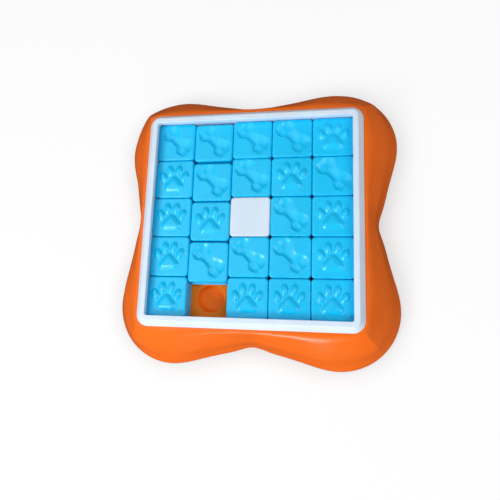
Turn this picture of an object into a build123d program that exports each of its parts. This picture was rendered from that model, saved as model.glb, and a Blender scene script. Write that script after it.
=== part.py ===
from build123d import *
from math import acos, atan2, cos, hypot, radians, sin, sqrt
import os

# Sliding-tile dog puzzle feeder.
#
# A flared four-lobed base carries a deck with one treat well under every cell of a
# five by five grid.  The deck lies on a lip inside the base, and screws from below
# clamp both to the square top frame.  Square tiles slide over the deck, tied to each
# other and to the frame by tongues and grooves.  The middle tile is screwed down, and
# one cell is left empty so that the others can move.
#
# Units are millimetres.  The origin is on the floor under the middle of the toy,
# +Z is up, +X is to the right and -Y is the front.

# ---- arrangement of the tiles ----
# Motif of every cell, from the back row to the front row, each row from left to
# right: B is a bone, P a paw, C the plain fixed centre and a dot the empty cell.
LAYOUT = ("BBBBP", "PBBPB", "PPCBP", "PBBBP", "P.PPP")

# Tiles of the column behind the empty cell, with how far each has already slid
# forward from the middle of its cell.
SLID_FORWARD = {(1, 2): 2.4, (2, 2): 4.8, (3, 2): 5.6, (4, 2): 6.8}

# ---- grid of tiles ----
TILE = 49.9                 # side of one tile
TILE_HEIGHT = 21.2
TILE_GAP = 0.5              # gap between two neighbouring tiles
EDGE_GAP = 0.5              # gap between the outer tiles and the frame
TILE_LIFT = 0.3             # running clearance between the tiles and the deck

# ---- base ----
DECK_Z = 42.8               # top of the deck that the tiles slide on
FLARE_Z = 2.5               # height at which the base is widest
RIM_Z = 1.2                 # lower edge of the base, just off the floor
LEDGE = 3.2                 # how far the square shoulder stands out past the frame
WAIST_FLARE = 20.5          # how far each side flares out past the shoulder in its middle
LOBE_FLARE = 46.1           # how far the lobes flare out past the shoulder
LOBE_R = 78.0               # radius of each lobe, seen from above
HOLLOW_R = 10.0             # radius of the hollow in the middle of each side
RIM_TUCK = 0.6              # how far the lower edge turns in from the widest line
FLANK_POWER = 1.55          # the flanks bulge at 1 like a quarter-ellipse and are straight at 2
CORNER_POWER = 12.0         # how tightly the shoulder's corners turn, as a superellipse
CORNER_EDGE = 0.45          # share of a sharp corner that is left in them, as a crease
WALL = 2.6                  # thickness of the base's walls, its lip and the deck
POCKET_CORNER_R = 5.0       # corner radius of the pocket that takes the deck and the frame
LIP = 8.6                   # width of the lip inside the pocket that the deck lies on
LIP_CORNER_R = 14.0         # inner corners of the lip, clear of the foot posts
DECK_FIT = 0.15             # clearance round the deck in its pocket

# ---- treat wells ----
WELL_R = 17.2               # radius at the rim
WELL_FLOOR_R = 15.6         # radius at the floor
WELL_DEPTH = 13.0
WELL_RIM_CHAMFER = 0.6
WELL_FLOOR_ROUND = 4.0

# ---- frame ----
FRAME_RISE = 10.7           # how far the frame stands above the tiles
FRAME_BAND = 11.05          # from the opening's wall to the flange's lower outer edge
FLANGE = 8.85               # thickness of the flange that covers the shoulder
FLANGE_FIT = 0.15           # clearance under the flange, so that the skirt seats first
FRAME_CORNER_R = 15.0       # outer corners, seen from above
FRAME_SLOPE = 38.0          # slope of the flange's sides, in degrees from upright
FRAME_ROUND = 2.4           # rounding of the outer upper edge
FRAME_INNER_R = 3.0         # inner corners, seen from above
MOUTH_OVERHANG = 2.2        # how far the frame reaches in over the outer tiles
MOUTH_HEIGHT = 5.5          # thickness of the frame where it does
FRAME_INNER_ROUND = 0.8     # rounding of the inner upper edge
SKIRT = 7.0                 # thickness of the skirt that reaches down to the deck
FRAME_FIT = 0.3             # clearance between the skirt and the base's pocket

# ---- tiles ----
TILE_CORNER_R = 4.5
TILE_ROUND = 2.2            # rounding of the upper edges
TILE_WALL = 2.4             # side walls, and the top plate under a bone
TILE_RIB = 1.8              # thickness of the two crossed ribs under the top plate
TONGUE_HOLD = 1.4           # how far a tongue reaches into its groove
TONGUE_HEIGHT = 3.0
TONGUE_LIFT = 7.7           # from a tile's lower edge to its tongues
TONGUE_INSET = 3.0          # a tile's tongue stops this far short of its corners
GROOVE_SPARE = 1.2          # room past the tip of a tongue
GROOVE_PLAY = 0.3           # clearance above and below a tongue

# ---- bone pressed into a tile ----
BONE_DEPTH = 2.0
BONE_SHAFT = 10.6           # width of the shaft
BONE_REACH = 14.5           # from the middle to the centres of the knobs
BONE_KNOB_R = 6.1
BONE_KNOB_SPREAD = 5.4      # from the bone's axis to the centres of the knobs
BONE_ANGLE = -44.0          # the bone runs from the back left to the front right
BONE_X, BONE_Y = -0.5, 1.2  # middle of the bone, from the middle of the tile
BONE_BLEND = 2.0            # rounding between the knobs and the shaft
BONE_DRAFT = 45.0           # slope of the walls, in degrees from upright
BONE_LIP = 1.2              # rounding of the upper edges
BONE_FLOOR_ROUND = 2.4      # rounding where the walls meet the floor

# ---- paw standing out of a tile ----
PAW_HEIGHT = 2.4
PAW_EDGE = 1.8              # rounding of the upper edges
PAW_ROOT = 0.5              # rounding where the paw meets the tile
TOE_LENGTH = 13.6
TOE_WIDTH = 8.2
INNER_TOE_X, INNER_TOE_Y, INNER_TOE_TILT = 5.9, 11.7, 8.0
OUTER_TOE_X, OUTER_TOE_Y, OUTER_TOE_TILT = 14.6, 3.3, 24.0
PAD_TOP_Y, PAD_TOP_R = -2.4, 6.6
PAD_SIDE_X, PAD_SIDE_Y, PAD_SIDE_R = 7.3, -11.7, 5.2

# ---- screws ----
SCREW_R = 1.5
SCREW_LENGTH = 11.0         # under the head
SCREW_HEAD_R = 3.0
SCREW_HEAD = 2.2
SCREW_FIT = 0.06            # clearance between a screw and its hole
SCREW_SPREAD = 126.0        # distance between the two frame screws of one side
DRIVE_R, DRIVE_DEPTH = 1.1, 1.2
CENTRE_BOSS_R = 5.0

# ---- feet ----
FOOT_R = 9.0
FOOT_THICKNESS = 3.0
FOOT_ROUND = 0.8
FOOT_STEM_R = 3.5
FOOT_STEM = 6.0
FOOT_FIT = 0.1              # clearance round the stem
FOOT_POST_WALL = 3.4        # wall of the posts inside the base that hold the feet
FOOT_INSET = 2.0            # from the pocket's sides to the middle of each foot

SPARE = 1.0                 # how far a cut runs on past the face or tip that it clears

# ---- values that follow from the ones above ----
GRID = len(LAYOUT)
PITCH = TILE + TILE_GAP
OPENING = GRID * TILE + (GRID - 1) * TILE_GAP + 2 * EDGE_GAP
HALF_OPENING = OPENING / 2
MOUTH = OPENING - 2 * MOUTH_OVERHANG
FRAME_OUTER = OPENING + 2 * FRAME_BAND
SKIRT_OUTER = OPENING + 2 * SKIRT
POCKET = SKIRT_OUTER + 2 * FRAME_FIT
SHOULDER = FRAME_OUTER + 2 * LEDGE
WAIST = SHOULDER + 2 * WAIST_FLARE
LOBE_CENTRE = SHOULDER / 2 + LOBE_FLARE - LOBE_R

DECK_UNDER_Z = DECK_Z - WALL
LIP_UNDER_Z = DECK_UNDER_Z - WALL
LIP_OPENING = POCKET - 2 * LIP
DECK_SIDE = POCKET - 2 * DECK_FIT
TILE_BOTTOM_Z = DECK_Z + TILE_LIFT
FRAME_TOP_Z = TILE_BOTTOM_Z + TILE_HEIGHT + FRAME_RISE
FLANGE_Z = FRAME_TOP_Z - FLANGE
SHOULDER_Z = FLANGE_Z - FLANGE_FIT

TONGUE = TILE_GAP + TONGUE_HOLD
GROOVE_DEPTH = TONGUE_HOLD + GROOVE_SPARE
GROOVED_WALL = GROOVE_DEPTH + TILE_WALL
TONGUE_Z = TILE_BOTTOM_Z + TONGUE_LIFT

SCREW_LINE = (OPENING + SKIRT) / 2
CENTRE_PILOT_DEPTH = SCREW_LENGTH - WALL + SPARE
FRAME_PILOT_DEPTH = CENTRE_PILOT_DEPTH - WALL
FOOT_POST_R = FOOT_STEM_R + FOOT_FIT + FOOT_POST_WALL

FLARE_STEPS = (0, 18, 36, 54, 72, 90)     # degrees round the quarter of each flank
SIDE_POINTS = 20                          # spans of each side's outline curve
LEVEL_MATCH = 0.1                         # edges this close to a level count as lying in it
TOP = (Align.CENTER, Align.CENTER, Align.MAX)
BOTTOM = (Align.CENTER, Align.CENTER, Align.MIN)


def slab(width, depth, low, high, corner=0.0):
    """A rectangular block about the Z axis, with rounded upright corners."""
    outline = RectangleRounded(width, depth, corner) if corner else Rectangle(width, depth)
    return extrude(Plane.XY.offset(low) * outline, amount=high - low)


# ---------------------------------------------------------------- base

def lobed_reach(angle):
    """Distance from the axis to the widest outline, in the direction of angle.

    Each lobe is a circle on a diagonal.  A small hollow arc lies in the middle of
    each side, and straight lines touch it and its two lobes.
    """
    turn = radians(abs((angle + 45) % 90 - 45))
    hollow_x = WAIST / 2 + HOLLOW_R
    across = LOBE_CENTRE - hollow_x
    spread = acos((LOBE_R + HOLLOW_R) / hypot(across, LOBE_CENTRE))
    facing = atan2(LOBE_CENTRE, across) + spread
    normal_x, normal_y = cos(facing), sin(facing)
    line_start = atan2(HOLLOW_R * normal_y, hollow_x + HOLLOW_R * normal_x)
    line_end = atan2(LOBE_CENTRE - LOBE_R * normal_y, LOBE_CENTRE - LOBE_R * normal_x)
    if turn < line_start:
        along = hollow_x * cos(turn)
        return along - sqrt(along ** 2 - hollow_x ** 2 + HOLLOW_R ** 2)
    if turn < line_end:
        return (hollow_x * normal_x + HOLLOW_R) / (normal_x * cos(turn) + normal_y * sin(turn))
    along = LOBE_CENTRE * (cos(turn) + sin(turn))
    return along + sqrt(along ** 2 - 2 * LOBE_CENTRE ** 2 + LOBE_R ** 2)


def shoulder_reach(angle, half):
    """Distance from the axis to the square shoulder, whose corners are eased."""
    across, along = cos(radians(angle)), abs(sin(radians(angle)))
    eased = half / (across ** CORNER_POWER + along ** CORNER_POWER) ** (1 / CORNER_POWER)
    return CORNER_EDGE * half / across + (1 - CORNER_EDGE) * eased


def base_section(height, share, inset):
    """One level of the flared base: share 0 is the square shoulder, 1 the lobes.

    The points of each side crowd together towards its ends, where it turns most.
    """
    half = SHOULDER / 2 - inset
    sides = []
    for quarter in range(4):
        points = []
        for step in range(SIDE_POINTS + 1):
            angle = 45 * sin(radians(180 * step / SIDE_POINTS - 90))
            square = shoulder_reach(angle, half)
            reach = (1 - share) * square + share * (lobed_reach(angle) - inset)
            turn = radians(angle + 90 * quarter)
            points.append((reach * cos(turn), reach * sin(turn), height))
        sides.append(Spline(*points))
    return Face(Wire(sides))


def flared_solid(inset, top, bottom):
    """The base's outer form, or the hollow inside it when inset is above zero."""
    sections = []
    for step in FLARE_STEPS:
        rise = cos(radians(step)) ** FLANK_POWER
        share = sin(radians(step)) ** FLANK_POWER
        sections.append(base_section(FLARE_Z + (top - FLARE_Z) * rise, share, inset))
    sections.append(base_section(bottom, 1.0, inset + RIM_TUCK))
    return loft(sections)


def foot_places():
    """The feet stand under the corners of the deck."""
    reach = POCKET / 2 - FOOT_INSET
    return {
        "front_left": (-reach, -reach),
        "front_right": (reach, -reach),
        "back_left": (-reach, reach),
        "back_right": (reach, reach),
    }


def frame_screw_places():
    """Two screws under each side of the frame."""
    near = SCREW_SPREAD / 2
    places = []
    for line in (-SCREW_LINE, SCREW_LINE):
        for along in (-near, near):
            places.append((line, along))
            places.append((along, line))
    return places


def cell_centre(row, column):
    """Middle of a cell; rows count from the back, columns from the left, from 1."""
    middle = (GRID + 1) / 2
    return ((column - middle) * PITCH, (middle - row) * PITCH)


def well_places():
    """Every cell but the middle one has a treat well."""
    middle = (GRID + 1) // 2
    places = []
    for row in range(1, GRID + 1):
        for column in range(1, GRID + 1):
            if (row, column) != (middle, middle):
                places.append(cell_centre(row, column))
    return places


def well_cut():
    """The hollow of one treat well, with a chamfered rim and a rounded floor."""
    cut = Cone(WELL_FLOOR_R, WELL_R, WELL_DEPTH, align=BOTTOM)
    cut = fillet(cut.edges().sort_by(Axis.Z)[0], WELL_FLOOR_ROUND)
    rim = Cone(WELL_R, WELL_R + WELL_RIM_CHAMFER, WELL_RIM_CHAMFER, align=TOP)
    return Pos(0, 0, DECK_Z - WELL_DEPTH) * cut + Pos(0, 0, DECK_Z) * rim


def well_cup():
    """The outside of one well, under the deck."""
    cup = Cone(WELL_FLOOR_R + WALL, WELL_R + WALL, WELL_DEPTH, align=BOTTOM)
    return Pos(0, 0, DECK_UNDER_Z - WELL_DEPTH) * cup


def build_base():
    """Flared skirt, shoulder, pocket with its lip, and foot posts in one moulding."""
    hollow = flared_solid(WALL, SHOULDER_Z - WALL, RIM_Z - SPARE)
    tray = POCKET + 2 * WALL
    hollow -= slab(tray, tray, LIP_UNDER_Z, SHOULDER_Z, POCKET_CORNER_R + WALL)
    post = Cylinder(FOOT_POST_R, SHOULDER_Z, align=BOTTOM)
    hollow -= [Pos(x, y, FOOT_THICKNESS) * post for x, y in foot_places().values()]
    base = flared_solid(0, SHOULDER_Z, RIM_Z) - hollow
    base -= slab(POCKET, POCKET, DECK_UNDER_Z, SHOULDER_Z + SPARE, POCKET_CORNER_R)
    base -= slab(LIP_OPENING, LIP_OPENING, LIP_UNDER_Z - SPARE, DECK_UNDER_Z + SPARE, LIP_CORNER_R)
    screw_hole = Cylinder(SCREW_R + SCREW_FIT, 2 * WALL)
    base -= [Pos(x, y, LIP_UNDER_Z) * screw_hole for x, y in frame_screw_places()]
    stem_hole = Cylinder(FOOT_STEM_R + FOOT_FIT, FOOT_STEM + SPARE, align=BOTTOM)
    base -= [Pos(x, y, FOOT_THICKNESS) * stem_hole for x, y in foot_places().values()]
    return base


def build_deck():
    """Flat plate with the treat wells hanging under it."""
    deck = slab(DECK_SIDE, DECK_SIDE, DECK_UNDER_Z, DECK_Z, POCKET_CORNER_R - DECK_FIT)
    deck += [Pos(x, y, 0) * well_cup() for x, y in well_places()]
    deck -= [Pos(x, y, 0) * well_cut() for x, y in well_places()]
    screw_hole = Cylinder(SCREW_R + SCREW_FIT, 3 * WALL)
    holes = frame_screw_places() + [(0, 0)]
    return deck - [Pos(x, y, DECK_UNDER_Z) * screw_hole for x, y in holes]


# ---------------------------------------------------------------- frame

def build_frame():
    """White square ring: a sloped flange, a lip over the tiles and a skirt down to the deck."""
    outline = RectangleRounded(FRAME_OUTER, FRAME_OUTER, FRAME_CORNER_R)
    flange = extrude(Plane.XY.offset(FLANGE_Z) * outline, amount=FLANGE, taper=FRAME_SLOPE)
    flange = fillet(flange.edges().group_by(Axis.Z)[-1], FRAME_ROUND)
    skirt_corner = POCKET_CORNER_R - FRAME_FIT
    ring = flange + slab(SKIRT_OUTER, SKIRT_OUTER, DECK_Z, FLANGE_Z + SPARE, skirt_corner)
    ring -= slab(OPENING, OPENING, DECK_Z - SPARE, FRAME_TOP_Z - MOUTH_HEIGHT, FRAME_INNER_R)
    ring -= slab(MOUTH, MOUTH, DECK_Z, FRAME_TOP_Z + SPARE, FRAME_INNER_R)
    inner_edges = ring.edges().group_by(Axis.Z)[-1].filter_by(
        lambda edge: max(abs(edge.center().X), abs(edge.center().Y)) < HALF_OPENING
    )
    ring = fillet(inner_edges, FRAME_INNER_ROUND)
    ring = ring - frame_grooves() + frame_tongues()
    pilot = Cylinder(SCREW_R + SCREW_FIT, FRAME_PILOT_DEPTH, align=BOTTOM)
    ring -= [Pos(x, y, DECK_Z) * pilot for x, y in frame_screw_places()]
    return ring


def frame_grooves():
    """Grooves in the left and front walls, which take the tiles' tongues."""
    low = TONGUE_Z - GROOVE_PLAY
    high = TONGUE_Z + TONGUE_HEIGHT + GROOVE_PLAY
    along = OPENING - 2 * FRAME_INNER_R
    upright = slab(2 * GROOVE_DEPTH, along, low, high)
    across = slab(along, 2 * GROOVE_DEPTH, low, high)
    return [Pos(-HALF_OPENING, 0, 0) * upright, Pos(0, -HALF_OPENING, 0) * across]


def frame_tongues():
    """Tongues on the right and back walls, which enter the tiles' grooves."""
    along = OPENING - 2 * TONGUE_INSET
    high = TONGUE_Z + TONGUE_HEIGHT
    upright = slab(2 * TONGUE, along, TONGUE_Z, high)
    across = slab(along, 2 * TONGUE, TONGUE_Z, high)
    return [Pos(HALF_OPENING, 0, 0) * upright, Pos(0, HALF_OPENING, 0) * across]


# ---------------------------------------------------------------- tiles

def tile_body():
    """Hollow ribbed tile: tongues on its left and front, grooves on its right and back."""
    body = slab(TILE, TILE, 0, TILE_HEIGHT, TILE_CORNER_R)
    body = fillet(body.edges().group_by(Axis.Z)[-1], TILE_ROUND)
    inside = TILE - TILE_WALL - GROOVED_WALL
    shift = (GROOVED_WALL - TILE_WALL) / 2
    roof = TILE_HEIGHT - TILE_WALL - BONE_DEPTH
    cavity = slab(inside, inside, -SPARE, roof, TILE_CORNER_R - TILE_WALL)
    cavity -= [slab(TILE_RIB, inside, -SPARE, roof), slab(inside, TILE_RIB, -SPARE, roof)]
    body -= Pos(-shift, -shift, 0) * cavity
    half = TILE / 2
    tongue_top = TONGUE_LIFT + TONGUE_HEIGHT
    groove_low = TONGUE_LIFT - GROOVE_PLAY
    groove_high = tongue_top + GROOVE_PLAY
    body -= Pos(half, 0, 0) * slab(2 * GROOVE_DEPTH, 2 * TILE, groove_low, groove_high)
    body -= Pos(0, half, 0) * slab(2 * TILE, 2 * GROOVE_DEPTH, groove_low, groove_high)
    along = TILE - 2 * TONGUE_INSET
    reach = TONGUE + TILE_WALL / 2
    upright = slab(reach, along, TONGUE_LIFT, tongue_top)
    across = slab(along, reach, TONGUE_LIFT, tongue_top)
    offset = half + TONGUE - reach / 2
    return body + Pos(-offset, 0, 0) * upright + Pos(0, -offset, 0) * across


def motif_edges(tile):
    """Edges in the plane of a tile's top, inside the rounding of its sides."""
    reach = TILE / 2 - TILE_ROUND - SPARE
    level = tile.edges().filter_by(lambda edge: abs(edge.center().Z - TILE_HEIGHT) < LEVEL_MATCH)
    return level.filter_by(lambda edge: max(abs(edge.center().X), abs(edge.center().Y)) < reach)


def bone_outline():
    """Two knobs at each end of a straight shaft."""
    outline = Rectangle(2 * BONE_REACH, BONE_SHAFT)
    for end in (-BONE_REACH, BONE_REACH):
        for side in (-BONE_KNOB_SPREAD, BONE_KNOB_SPREAD):
            outline += Pos(end, side) * Circle(BONE_KNOB_R)
    return fillet(outline.vertices(), BONE_BLEND)


def bone_tile(body):
    """Tile with a bone pressed into its top."""
    recess = extrude(bone_outline(), amount=-BONE_DEPTH, taper=BONE_DRAFT)
    recess = fillet(recess.edges().group_by(Axis.Z)[0], BONE_FLOOR_ROUND)
    tile = body - Pos(BONE_X, BONE_Y, TILE_HEIGHT) * Rot(0, 0, BONE_ANGLE) * recess
    return fillet(motif_edges(tile), BONE_LIP)


def raised(outline):
    """A low pad of the given outline with rounded upper edges."""
    pad = extrude(outline, amount=PAW_HEIGHT)
    return fillet(pad.edges().group_by(Axis.Z)[-1], PAW_EDGE)


def paw_tile(body):
    """Tile with four toes and a heel pad standing out of its top."""
    toe = raised(Ellipse(TOE_WIDTH / 2, TOE_LENGTH / 2))
    parts = []
    for side in (-1, 1):
        parts.append(Pos(side * INNER_TOE_X, INNER_TOE_Y) * Rot(0, 0, -side * INNER_TOE_TILT) * toe)
        parts.append(Pos(side * OUTER_TOE_X, OUTER_TOE_Y) * Rot(0, 0, -side * OUTER_TOE_TILT) * toe)
    circles = [Pos(0, PAD_TOP_Y) * Circle(PAD_TOP_R)]
    for side in (-1, 1):
        circles.append(Pos(side * PAD_SIDE_X, PAD_SIDE_Y) * Circle(PAD_SIDE_R))
    parts.append(raised(make_hull([circle.edge() for circle in circles])))
    tile = body + [Pos(0, 0, TILE_HEIGHT) * part for part in parts]
    return fillet(motif_edges(tile), PAW_ROOT)


def centre_tile(body):
    """Plain tile that stands on the deck, with a boss for its screw."""
    boss = Cylinder(CENTRE_BOSS_R, TILE_HEIGHT + TILE_LIFT - TILE_WALL / 2, align=BOTTOM)
    centre = body + Pos(0, 0, -TILE_LIFT) * boss
    pilot = Cylinder(SCREW_R + SCREW_FIT, CENTRE_PILOT_DEPTH, align=BOTTOM)
    return centre - Pos(0, 0, -TILE_LIFT) * pilot


# ---------------------------------------------------------------- small pieces

def screw():
    """Pan-head screw pointing up, with the underside of its head at z 0."""
    head = Cylinder(SCREW_HEAD_R, SCREW_HEAD, align=TOP)
    drive = Cylinder(DRIVE_R, DRIVE_DEPTH, align=BOTTOM)
    shank = Cylinder(SCREW_R, SCREW_LENGTH, align=BOTTOM)
    return head + shank - Pos(0, 0, -SCREW_HEAD) * drive


def foot():
    """Rubber foot: a round pad on the floor and a stem pushed into its post."""
    pad = Cylinder(FOOT_R, FOOT_THICKNESS, align=BOTTOM)
    pad = fillet(pad.edges().sort_by(Axis.Z)[0], FOOT_ROUND)
    return pad + Cylinder(FOOT_STEM_R, FOOT_THICKNESS + FOOT_STEM, align=BOTTOM)


def build_parts():
    """Every sub-part by name, in its place at rest."""
    parts = {"base": build_base(), "deck": build_deck(), "top_frame": build_frame()}
    body = tile_body()
    kinds = {"B": bone_tile(body), "P": paw_tile(body), "C": centre_tile(body)}
    for row, motifs in enumerate(LAYOUT, start=1):
        for column, motif in enumerate(motifs, start=1):
            if motif not in kinds:
                continue
            x, y = cell_centre(row, column)
            y -= SLID_FORWARD.get((row, column), 0)
            name = "centre_tile" if motif == "C" else f"tile_r{row}_c{column}"
            parts[name] = Pos(x, y, TILE_BOTTOM_Z) * kinds[motif]
    screws = [Pos(x, y, LIP_UNDER_Z) * screw() for x, y in frame_screw_places()]
    parts["frame_screws"] = Compound(children=screws)
    parts["centre_screw"] = Pos(0, 0, DECK_UNDER_Z) * screw()
    for corner, (x, y) in foot_places().items():
        parts[f"foot_{corner}"] = Pos(x, y, 0) * foot()
    return parts


os.makedirs("parts", exist_ok=True)
for node, shape in build_parts().items():
    export_step(shape, f"parts/{node}.step")
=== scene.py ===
"""Looks for the sliding-tile dog puzzle feeder.  Metres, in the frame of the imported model."""
from math import cos, hypot, pi, radians, sin, sqrt

import bmesh
import bpy
from mathutils import Matrix, Vector

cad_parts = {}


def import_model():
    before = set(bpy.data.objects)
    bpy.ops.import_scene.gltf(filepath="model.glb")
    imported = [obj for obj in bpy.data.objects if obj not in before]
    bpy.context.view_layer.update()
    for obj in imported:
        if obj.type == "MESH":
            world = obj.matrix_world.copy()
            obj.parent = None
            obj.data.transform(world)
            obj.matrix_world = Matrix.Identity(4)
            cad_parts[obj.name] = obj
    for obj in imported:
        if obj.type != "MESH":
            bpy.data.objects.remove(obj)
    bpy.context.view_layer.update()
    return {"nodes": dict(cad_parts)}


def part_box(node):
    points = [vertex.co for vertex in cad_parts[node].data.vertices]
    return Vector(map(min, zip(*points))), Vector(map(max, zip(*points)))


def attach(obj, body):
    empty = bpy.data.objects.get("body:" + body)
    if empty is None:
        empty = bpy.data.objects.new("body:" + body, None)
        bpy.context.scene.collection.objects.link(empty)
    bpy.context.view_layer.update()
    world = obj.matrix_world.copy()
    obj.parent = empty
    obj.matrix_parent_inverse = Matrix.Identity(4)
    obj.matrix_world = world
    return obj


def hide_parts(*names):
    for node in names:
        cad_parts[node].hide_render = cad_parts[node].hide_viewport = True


MM = 0.001

# ---- camera ----
IMAGE_SIDE = 500            # pixels
FOCAL = 418.2               # pixels
CAMERA_AZIMUTH = radians(45.25)
CAMERA_ELEVATION = radians(76.48)
CAMERA_ROLL = radians(1.95)
CAMERA_DISTANCE = 0.575
CAMERA_AIM = Vector((-0.00925, -0.03114, 0.0))
CAMERA_NEAR = 0.01          # nothing closer than this is drawn
SENSOR = 36.0               # millimetres

# ---- colours, 0 to 255 as a screen shows them ----
ORANGE = (240, 106, 6)
# the deck's orange plastic, made lighter than the base's to stand in for light reaching the deep
# empty cell: painted light
DECK_ORANGE_PAINTED_LIGHT = (255, 130, 30)
BLUE = (4, 196, 248)
WHITE = (216, 232, 248)
CENTRE_WHITE = (214, 231, 247)
STEEL = (168, 168, 170)
BLACK_RUBBER = (32, 32, 34)
FLOOR = (246, 247, 248)
FLOOR_MIRRORED = (60, 60, 60)           # of the floor where the object mirrors it

# ---- plastics: name of the material, colour, roughness, strength of the grain, specular level ----
NODE_PLASTICS = {
    "base": ("base_orange", ORANGE, 0.25, 0.2, 0.45),
    "deck": ("deck_orange_painted_light", DECK_ORANGE_PAINTED_LIGHT, 0.34, 0.25, 0.1),
    "top_frame": ("frame_white", WHITE, 0.34, 0.2, 0.4),
    "centre_tile": ("centre_white", CENTRE_WHITE, 0.38, 0.2, 0.4),
}
FOOT_RUBBER = ("foot_rubber", BLACK_RUBBER, 0.75, 0.5, 0.3)
TILE_PLASTIC = ("tile_blue", BLUE, 0.27, 0.2, 0.45)
CLOUD_SCALE, CLOUD_DETAIL, CLOUD_ROUGHNESS = 22.0, 3.0, 0.55
CLOUD_START, CLOUD_END = 0.3, 0.7       # noise values between which the colour changes
CLOUD_DARK, CLOUD_LIGHT = 0.955, 1.03   # the colour is multiplied by these there
CLOUD_LIFT = 0.002                      # and this is added to the light one
SMEAR_SCALE, SMEAR_DETAIL = 90.0, 2.0
SMEAR_SPREAD = 0.05                     # of the roughness to either side
PIT_SCALE, PIT_DETAIL = 1600.0, 2.0
PIT_DEPTH = 0.05            # millimetres

# ---- steel ----
NODE_STEELS = {"frame_screws": "screw_steel", "centre_screw": "centre_screw_steel"}
STEEL_SCALE, STEEL_DETAIL = 700.0, 3.0
STEEL_SMOOTH, STEEL_ROUGH = 0.25, 0.45

# ---- stage ----
FLOOR_HALF = 6.0
FLOOR_DROP = 0.0005         # how far the floor lies under the feet
FLOOR_ROUGHNESS = 0.9
FLOOR_SHINE = 0.1
PAINTED_SHADOW_REACH = 0.03        # how far from the object a painted shadow darkens the floor's plain white
PAINTED_SHADOW_LEVEL = 0.4         # what the painted shadow leaves of that white right under the object
FLOOR_GLOW = 0.8            # share of the floor that shows as plain white to the camera
WORLD_STRENGTH = 0.24
WORLD_SEEN = 1.0            # the world's strength where the camera looks at it
LAMP_AIM = Vector((0.0, 0.0, 0.03))
LAMPS = {                   # place, side of the square, power in watts
    "sheen": ((-0.9, 0.2, 1.9), 1.6, 9.0),
    "key": ((-1.05, -1.05, 1.3), 0.55, 20.0),
    "front": ((-0.1, -1.9, 0.4), 0.5, 8.0),
    "fill": ((1.15, -0.25, 1.6), 1.2, 13.0),
}

# ---- tiles, in millimetres; a tile's own origin is the middle of its lower edge ----
TILE = 49.9
TILE_HEIGHT = 21.2
TILE_CORNER_R = 4.5
TILE_ROUND = 2.2
TILE_WALL = 2.4
TILE_RIB = 1.8
TILE_ROOF = 4.4             # thickness of the top plate
TONGUE = 1.9                # how far the tongues stand out
TONGUE_LIFT, TONGUE_HEIGHT = 7.7, 3.0
TONGUE_INSET = 3.0
GROOVE_DEPTH = 2.6
GROOVE_PLAY = 0.3
MOTIF_REACH = 21.6          # the fine part of the top's grid covers this far from the middle
MOTIF_STEP = 0.6            # spacing of the grid there
ROUND_STEPS = 7             # rows of faces over the rounded upper edge
SHARP_ANGLE = radians(40.0)             # edges that turn by more than this stay sharp

# ---- bone: a channel, steep on its front left side and gentle on the other ----
BONE_DEPTH = 2.6
BONE_SHAFT = 9.8
BONE_REACH = 14.0
BONE_KNOB_R = 5.7
BONE_KNOB_SPREAD = 4.7
BONE_ANGLE = radians(-46.0)
BONE_X, BONE_Y = -0.2, 1.2
BONE_BLEND = 6.0            # eases the corners between the shaft and the knobs
BONE_WALL = 3.9             # from the steep edge to the deepest line, seen from above
BONE_FAR_WALL = 9.0         # the same from the gentle edge
BONE_SPREAD = 3.6           # how much further out the gentle edge lies
BONE_EASE = 5.0             # from the middle to where the walls are wholly steep or gentle
BONE_END_EASE = 1.3         # how soon the walls turn gentle past the knobs' middles

# ---- paw: low domes; a toe's place is its x and y and how far it leans out ----
TOE_HEIGHT = 2.8
TOE_LENGTH, TOE_WIDTH = 14.6, 9.6
INNER_TOE = (5.7, 11.2, radians(8.0))
OUTER_TOE = (14.2, 3.0, radians(22.0))
PAD_HEIGHT = 2.9
PAD_TOP_Y = -2.6
PAD_SIDE_X, PAD_SIDE_Y = 7.1, -10.6
PAD_R = 6.0
PAD_SLOPE = 7.4             # width of the pad's sloping edge
ROOT_SOFTNESS = 0.1         # eases the edges of the motifs, as a share of their height


def linear(colour):
    """A screen colour as the linear values that shaders use."""
    values = []
    for channel in colour:
        share = channel / 255
        low = share <= 0.04045
        values.append(share / 12.92 if low else ((share + 0.055) / 1.055) ** 2.4)
    return (*values, 1.0)


# ---------------------------------------------------------------- materials

class Nodes:
    """Short ways to add and join shader nodes in one material."""

    def __init__(self, name):
        self.material = bpy.data.materials.new(name)
        self.material.use_nodes = True
        self.tree = self.material.node_tree
        self.shader = self.tree.nodes["Principled BSDF"]

    def add(self, kind, **inputs):
        node = self.tree.nodes.new(kind)
        for key, value in inputs.items():
            node.inputs[key.replace("_", " ")].default_value = value
        return node

    def join(self, source, target):
        self.tree.links.new(source, target)


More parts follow.
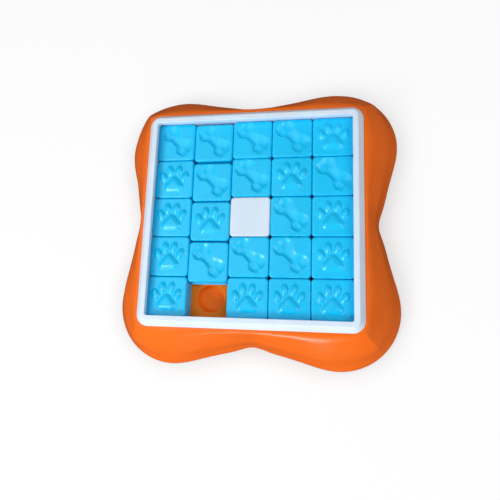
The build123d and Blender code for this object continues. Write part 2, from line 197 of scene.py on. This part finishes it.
def plastic(name, colour, roughness, grain, shine):
    """Moulded plastic: faint flow clouding, uneven gloss and a fine eroded grain."""
    n = Nodes(name)
    place = n.add("ShaderNodeTexCoord").outputs["Object"]
    clouds = n.add(
        "ShaderNodeTexNoise", Scale=CLOUD_SCALE, Detail=CLOUD_DETAIL, Roughness=CLOUD_ROUGHNESS)
    n.join(place, clouds.inputs["Vector"])
    tint = n.add("ShaderNodeValToRGB")
    dark, light = tint.color_ramp.elements
    base = linear(colour)[:3]
    dark.position = CLOUD_START
    dark.color = (*[c * CLOUD_DARK for c in base], 1.0)
    light.position = CLOUD_END
    light.color = (*[min(1.0, c * CLOUD_LIGHT + CLOUD_LIFT) for c in base], 1.0)
    n.join(clouds.outputs["Fac"], tint.inputs["Fac"])
    n.join(tint.outputs["Color"], n.shader.inputs["Base Color"])
    smears = n.add("ShaderNodeTexNoise", Scale=SMEAR_SCALE, Detail=SMEAR_DETAIL)
    n.join(place, smears.inputs["Vector"])
    gloss = n.add("ShaderNodeMapRange")
    gloss.inputs["To Min"].default_value = roughness - SMEAR_SPREAD
    gloss.inputs["To Max"].default_value = roughness + SMEAR_SPREAD
    n.join(smears.outputs["Fac"], gloss.inputs["Value"])
    n.join(gloss.outputs["Result"], n.shader.inputs["Roughness"])
    pits = n.add("ShaderNodeTexNoise", Scale=PIT_SCALE, Detail=PIT_DETAIL)
    n.join(place, pits.inputs["Vector"])
    bump = n.add("ShaderNodeBump", Strength=grain, Distance=PIT_DEPTH * MM)
    n.join(pits.outputs["Fac"], bump.inputs["Height"])
    n.join(bump.outputs["Normal"], n.shader.inputs["Normal"])
    n.shader.inputs["Specular IOR Level"].default_value = shine
    return n.material


def steel(name):
    """Plain steel with uneven gloss."""
    n = Nodes(name)
    place = n.add("ShaderNodeTexCoord").outputs["Object"]
    marks = n.add("ShaderNodeTexNoise", Scale=STEEL_SCALE, Detail=STEEL_DETAIL)
    n.join(place, marks.inputs["Vector"])
    gloss = n.add("ShaderNodeMapRange")
    gloss.inputs["To Min"].default_value = STEEL_SMOOTH
    gloss.inputs["To Max"].default_value = STEEL_ROUGH
    n.join(marks.outputs["Fac"], gloss.inputs["Value"])
    n.join(gloss.outputs["Result"], n.shader.inputs["Roughness"])
    n.shader.inputs["Base Color"].default_value = linear(STEEL)
    n.shader.inputs["Metallic"].default_value = 1.0
    return n.material


def floor_material():
    """White floor: mostly plain white to the camera, with a painted shadow that dims that white
    near the object; the rest is shadowed by the lamps, and dark in reflections.
    """
    n = Nodes("floor_white")
    rays = n.add("ShaderNodeLightPath")
    share = n.add("ShaderNodeMath")
    share.operation = "MULTIPLY"
    share.inputs[1].default_value = FLOOR_GLOW
    n.join(rays.outputs["Is Camera Ray"], share.inputs[0])
    # painted shadow: ambient occlusion dims the floor's plain white near the object
    near = n.add("ShaderNodeAmbientOcclusion", Distance=PAINTED_SHADOW_REACH)
    level = n.add("ShaderNodeMapRange")
    level.inputs["To Min"].default_value = PAINTED_SHADOW_LEVEL
    n.join(near.outputs["AO"], level.inputs["Value"])
    glow = n.add("ShaderNodeEmission")
    n.join(level.outputs["Result"], glow.inputs["Strength"])
    mirror = n.add("ShaderNodeValToRGB")
    mirror.color_ramp.elements[0].color = linear(FLOOR)
    mirror.color_ramp.elements[1].color = linear(FLOOR_MIRRORED)
    n.join(rays.outputs["Is Glossy Ray"], mirror.inputs["Fac"])
    n.join(mirror.outputs["Color"], n.shader.inputs["Base Color"])
    mix = n.add("ShaderNodeMixShader")
    n.join(share.outputs["Value"], mix.inputs["Fac"])
    n.join(n.shader.outputs["BSDF"], mix.inputs[1])
    n.join(glow.outputs["Emission"], mix.inputs[2])
    n.join(mix.outputs["Shader"], n.tree.nodes["Material Output"].inputs["Surface"])
    n.shader.inputs["Roughness"].default_value = FLOOR_ROUGHNESS
    n.shader.inputs["Specular IOR Level"].default_value = FLOOR_SHINE
    return n.material


def dress(frame):
    """Gives every CAD node that stays its material."""
    finishes = {node: plastic(*values) for node, values in NODE_PLASTICS.items()}
    finishes.update({node: steel(name) for node, name in NODE_STEELS.items()})
    rubber = plastic(*FOOT_RUBBER)
    for name, node in frame["nodes"].items():
        if name.startswith("tile_"):
            continue
        finish = rubber if name.startswith("foot_") else finishes[name]
        for slot in node.material_slots:
            slot.material = finish


# ---------------------------------------------------------------- tiles

def round_min(one, other, blend):
    """The lesser of two distances, with the corner between them rounded."""
    overlap = max(blend - abs(one - other), 0.0) / blend
    return min(one, other) - overlap * overlap * blend / 4


def turned(x, y, angle):
    """The point in axes turned by angle."""
    return x * cos(angle) + y * sin(angle), y * cos(angle) - x * sin(angle)


def rooted(share):
    """A dome's share of its height, or a channel's of its depth, eased where it meets the flat."""
    return (share + sqrt(share * share + ROOT_SOFTNESS ** 2)) / 2


def bone_height(x, y):
    """The pressed bone: a channel with a knob at each of its four corners."""
    along, across = turned(x - BONE_X, y - BONE_Y, BONE_ANGLE)
    along = abs(along)
    past = BONE_END_EASE * max(0.0, along - BONE_REACH)
    gentle = min(1.0, max(0.0, 0.5 + (across + past) / (2 * BONE_EASE)))
    across = abs(across)
    shaft = max(across - BONE_SHAFT / 2, along - BONE_REACH)
    knob = hypot(along - BONE_REACH, across - BONE_KNOB_SPREAD) - BONE_KNOB_R
    edge = round_min(shaft, knob, BONE_BLEND) - gentle * BONE_SPREAD
    wall = BONE_WALL + gentle * (BONE_FAR_WALL - BONE_WALL)
    return -BONE_DEPTH * rooted(1 - max(0.0, 1 + edge / wall) ** 2)


def toe_share(x, y, place):
    """1 on top of a toe, 0 at its edge and below 0 outside."""
    across, along = turned(x - place[0], y - place[1], -place[2])
    return 1 - (2 * across / TOE_WIDTH) ** 2 - (2 * along / TOE_LENGTH) ** 2


def pad_share(x, y):
    """The same for the heel pad, a rounded triangle."""
    x = abs(x)
    slope_x, slope_y = PAD_SIDE_X, PAD_SIDE_Y - PAD_TOP_Y
    length = hypot(slope_x, slope_y)
    place = (x * slope_x + (y - PAD_TOP_Y) * slope_y) / length ** 2
    place = min(1.0, max(0.0, place))
    inside = y > PAD_SIDE_Y and slope_x * (y - PAD_TOP_Y) - slope_y * x < 0
    side = hypot(x - place * slope_x, y - PAD_TOP_Y - place * slope_y)
    below = hypot(max(x - PAD_SIDE_X, 0.0), y - PAD_SIDE_Y)
    edge = min(side, below)
    edge = (-edge if inside else edge) - PAD_R
    return 1 - max(0.0, 1 + edge / PAD_SLOPE) ** 2 if edge < 0 else -2 * edge / PAD_SLOPE


def paw_height(x, y):
    """The raised paw: four toes and a heel pad."""
    toes = []
    for place in (INNER_TOE, OUTER_TOE):
        for side in (-1, 1):
            toes.append(toe_share(side * x, y, place))
    return max(TOE_HEIGHT * rooted(max(toes)), PAD_HEIGHT * rooted(pad_share(x, y)), 0.0)


def grid_lines():
    """Places of the top's grid lines along one side, close together over the rounding."""
    half = TILE / 2
    outer = [
        half - TILE_ROUND * (1 - cos(pi / 2 * step / ROUND_STEPS))
        for step in range(ROUND_STEPS + 1)
    ]
    count = round(MOTIF_REACH / MOTIF_STEP)
    inner = [MOTIF_REACH * step / count for step in range(count, 0, -1)]
    right = outer + inner
    return [-place for place in right] + [0.0] + right[::-1]


def top_point(x, y, motif):
    """A point of the top: rounded in plan at the corners and along the upper edges."""
    half = TILE / 2
    inset = half - max(abs(x), abs(y))
    drop = max(TILE_ROUND - inset, 0.0)
    height = TILE_HEIGHT - TILE_ROUND + sqrt(TILE_ROUND ** 2 - drop ** 2)
    straight = half - TILE_CORNER_R
    over_x, over_y = abs(x) - straight, abs(y) - straight
    if over_x > 0 and over_y > 0:
        pull = max(over_x, over_y) / hypot(over_x, over_y)
        x = (straight + over_x * pull) * (1 if x > 0 else -1)
        y = (straight + over_y * pull) * (1 if y > 0 else -1)
    return x, y, height + motif(x, y)


def tile_block(motif):
    """The outer form of a tile: its shaped top, its sides and a flat underside."""
    lines = grid_lines()
    count = len(lines)
    shape = bmesh.new()
    rows = [[shape.verts.new(top_point(x, y, motif)) for x in lines] for y in lines]
    for row in range(count - 1):
        for column in range(count - 1):
            low, high = rows[row], rows[row + 1]
            shape.faces.new((low[column], low[column + 1], high[column + 1], high[column]))
    rim = rows[0][:-1] + [row[-1] for row in rows[:-1]]
    rim += rows[-1][:0:-1] + [row[0] for row in rows[:0:-1]]
    foot = [shape.verts.new((vert.co.x, vert.co.y, 0.0)) for vert in rim]
    for place in range(len(rim)):
        after = (place + 1) % len(rim)
        shape.faces.new((rim[place], foot[place], foot[after], rim[after]))
    shape.faces.new(foot[::-1])
    return to_object(shape, "tile_block")


def to_object(shape, name):
    """A bmesh in millimetres as an object in metres."""
    bmesh.ops.recalc_face_normals(shape, faces=shape.faces)
    bmesh.ops.scale(shape, vec=(MM, MM, MM), verts=shape.verts)
    mesh = bpy.data.meshes.new(name)
    shape.to_mesh(mesh)
    shape.free()
    made = bpy.data.objects.new(name, mesh)
    bpy.context.scene.collection.objects.link(made)
    return made


def blocks(name, corners):
    """Rectangular blocks, each from its lowest to its highest corner, as one cutting tool."""
    shape = bmesh.new()
    for low, high in corners:
        middle = [(a + b) / 2 for a, b in zip(low, high)]
        size = [b - a for a, b in zip(low, high)]
        matrix = Matrix.Translation(middle) @ Matrix.Diagonal((*size, 1.0))
        bmesh.ops.create_cube(shape, size=1.0, matrix=matrix)
    return to_object(shape, name)


def carved(piece, tools):
    """The mesh of a piece after each tool is cut from it or joined to it."""
    for tool, operation in tools:
        cut = piece.modifiers.new(operation, "BOOLEAN")
        cut.operation = operation
        cut.solver = "EXACT"
        cut.object = tool
    graph = bpy.context.evaluated_depsgraph_get()
    mesh = bpy.data.meshes.new_from_object(piece.evaluated_get(graph))
    for done in [piece] + [tool for tool, _ in tools]:
        bpy.data.objects.remove(done)
    return mesh


def tile_mesh(motif):
    """A whole tile: grooves right and back, tongues left and front, ribbed hollow below."""
    half = TILE / 2
    past = TILE             # well outside the tile
    low, high = TONGUE_LIFT - GROOVE_PLAY, TONGUE_LIFT + TONGUE_HEIGHT + GROOVE_PLAY
    bed = half - GROOVE_DEPTH
    grooves = [((bed, -past, low), (past, past, high)), ((-past, bed, low), (past, past, high))]
    side = half - TONGUE_INSET
    top = TONGUE_LIFT + TONGUE_HEIGHT
    tongues = [
        ((-half - TONGUE, -side, TONGUE_LIFT), (-half + TILE_WALL / 2, side, top)),
        ((-side, -half - TONGUE, TONGUE_LIFT), (side, -half + TILE_WALL / 2, top)),
    ]
    near, far = -half + TILE_WALL, bed - TILE_WALL
    middle = (near + far) / 2
    spans = [(near, middle - TILE_RIB / 2), (middle + TILE_RIB / 2, far)]
    roof = TILE_HEIGHT - TILE_ROOF
    pockets = [((x[0], y[0], -TILE_WALL), (x[1], y[1], roof)) for x in spans for y in spans]
    tools = [
        (blocks(f"groove_{place}", [groove]), "DIFFERENCE")
        for place, groove in enumerate(grooves)
    ]
    tools.append((blocks("pockets", pockets), "DIFFERENCE"))
    tools += [
        (blocks(f"tongue_{place}", [tongue]), "UNION")
        for place, tongue in enumerate(tongues)
    ]
    mesh = carved(tile_block(motif), tools)
    mesh.shade_smooth()
    mesh.set_sharp_from_angle(angle=SHARP_ANGLE)
    return mesh


def is_paw(node):
    """A paw stands out of its tile, so its node is taller than the tile's body."""
    low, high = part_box(node)
    return high[2] - low[2] > (TILE_HEIGHT + TOE_HEIGHT / 2) * MM


def place_tiles(frame, finish):
    """A detailed tile in place of each plain one, riding on the same body."""
    meshes = {True: tile_mesh(paw_height), False: tile_mesh(bone_height)}
    half = TILE / 2 * MM
    for node in sorted(name for name in frame["nodes"] if name.startswith("tile_")):
        low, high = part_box(node)
        mesh = meshes[is_paw(node)].copy()
        mesh.transform(Matrix.Translation((high[0] - half, high[1] - half, low[2])))
        mesh.materials.clear()
        mesh.materials.append(finish)
        piece = bpy.data.objects.new(f"{node}_top", mesh)
        bpy.context.scene.collection.objects.link(piece)
        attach(piece, node)
        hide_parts(node)


# ---------------------------------------------------------------- stage

def floor():
    """The pale floor that the toy stands on."""
    mesh = bpy.data.meshes.new("floor")
    signs = ((-1, -1), (1, -1), (1, 1), (-1, 1))
    corners = [(x * FLOOR_HALF, y * FLOOR_HALF, 0) for x, y in signs]
    mesh.from_pydata(corners, [], [(0, 1, 2, 3)])
    plane = bpy.data.objects.new("floor", mesh)
    bpy.context.scene.collection.objects.link(plane)
    mesh.materials.append(floor_material())
    plane.location.z = -FLOOR_DROP


def lamp(name, place, side, power):
    """A square white lamp that faces the toy."""
    data = bpy.data.lights.new(name, "AREA")
    data.shape = "SQUARE"
    data.size = side
    data.energy = power
    light = bpy.data.objects.new(name, data)
    bpy.context.scene.collection.objects.link(light)
    light.location = place
    light.rotation_euler = (LAMP_AIM - Vector(place)).to_track_quat("-Z", "Y").to_euler()


def world():
    """Even light from all round; the camera itself sees plain white."""
    data = bpy.data.worlds.new("studio")
    data.use_nodes = True
    tree = data.node_tree
    background = tree.nodes["Background"]
    background.inputs["Color"].default_value = (1.0, 1.0, 1.0, 1.0)
    rays = tree.nodes.new("ShaderNodeLightPath")
    level = tree.nodes.new("ShaderNodeMapRange")
    level.inputs["To Min"].default_value = WORLD_STRENGTH
    level.inputs["To Max"].default_value = WORLD_SEEN
    tree.links.new(rays.outputs["Is Camera Ray"], level.inputs["Value"])
    tree.links.new(level.outputs["Result"], background.inputs["Strength"])
    bpy.context.scene.world = data


def camera():
    """The camera that was fitted to the photograph."""
    back = Vector((
        sin(CAMERA_AZIMUTH) * cos(CAMERA_ELEVATION),
        -cos(CAMERA_AZIMUTH) * cos(CAMERA_ELEVATION),
        sin(CAMERA_ELEVATION),
    ))
    level = Vector((0, 1, 0)).cross(back).normalized()
    upright = back.cross(level)
    right = cos(CAMERA_ROLL) * level + sin(CAMERA_ROLL) * upright
    up = cos(CAMERA_ROLL) * upright - sin(CAMERA_ROLL) * level
    data = bpy.data.cameras.new("camera")
    data.sensor_width = SENSOR
    data.lens = SENSOR * FOCAL / IMAGE_SIDE
    data.clip_start = CAMERA_NEAR
    eye = bpy.data.objects.new("camera", data)
    turn = Matrix((right, up, back)).transposed().to_4x4()
    eye.matrix_world = Matrix.Translation(CAMERA_AIM + back * CAMERA_DISTANCE) @ turn
    bpy.context.scene.collection.objects.link(eye)
    bpy.context.scene.camera = eye


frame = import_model()
dress(frame)
place_tiles(frame, plastic(*TILE_PLASTIC))
floor()
for lamp_name, values in LAMPS.items():
    lamp(lamp_name, *values)
world()
camera()
bpy.context.scene.view_settings.view_transform = "Standard"
